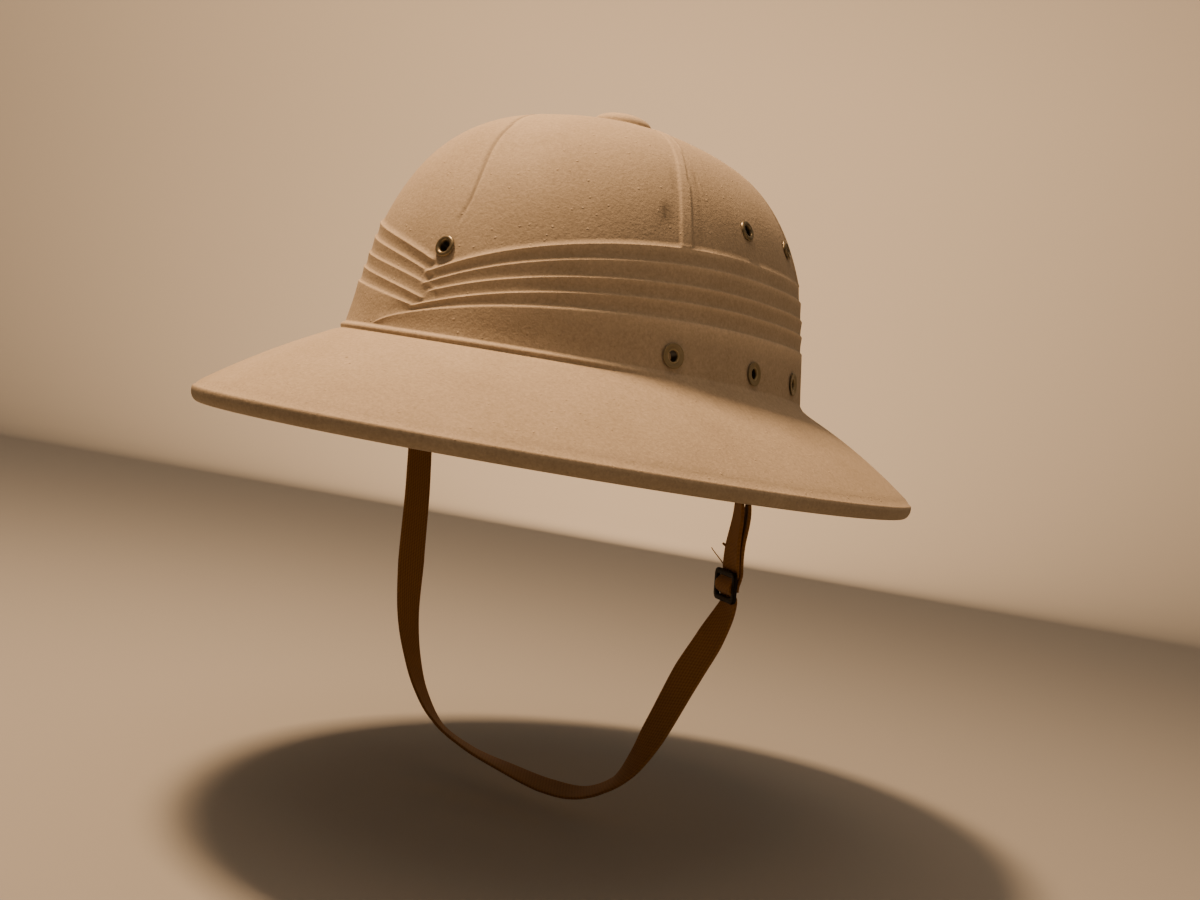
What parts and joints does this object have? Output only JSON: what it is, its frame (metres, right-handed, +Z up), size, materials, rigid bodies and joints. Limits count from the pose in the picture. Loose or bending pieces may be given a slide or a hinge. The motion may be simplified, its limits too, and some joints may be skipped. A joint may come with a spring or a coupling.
{
  "type": "pith helmet",
  "caption": "Pressed-fibre sun helmet with moulded pleats and ribs, a wide sloping brim, metal eyelets, a top button and a webbing chin strap with a slider.",
  "frame": {"origin": "centre of the head opening, level with the foot of the crown", "axes": "+Z up through the crown, -Y towards the front of the hat, +X towards the wearer's left"},
  "size_m": [0.2692, 0.343, 0.2822],
  "materials": {
    "khaki_pressed_fibre": "matt painted pressed fibre with a fine felted grain",
    "dark_bronze_metal": "dark glossy bronzed metal",
    "khaki_painted_metal": "satin khaki paint",
    "plain_steel": "plain",
    "olive_brown_webbing": "woven cotton webbing",
    "black_japanned_metal": "black japanned, worn satin"
  },
  "bodies": {
    "root": {"shell": "khaki_pressed_fibre", "top_button": "khaki_pressed_fibre", "front_eyelet": "dark_bronze_metal", "side_eyelet_upper_left_middle": "dark_bronze_metal", "side_eyelet_upper_left_rear": "dark_bronze_metal", "side_eyelet_upper_right_middle": "dark_bronze_metal", "side_eyelet_upper_right_rear": "dark_bronze_metal", "base_eyelet_left_front": "khaki_painted_metal", "base_eyelet_left_middle": "khaki_painted_metal", "base_eyelet_left_rear": "khaki_painted_metal", "base_eyelet_right_front": "khaki_painted_metal", "base_eyelet_right_middle": "khaki_painted_metal", "base_eyelet_right_rear": "khaki_painted_metal", "strap_hanger_left": "plain_steel", "strap_hanger_right": "plain_steel", "chin_strap": "olive_brown_webbing", "strap_slider": "black_japanned_metal"}
  },
  "joints": []
}
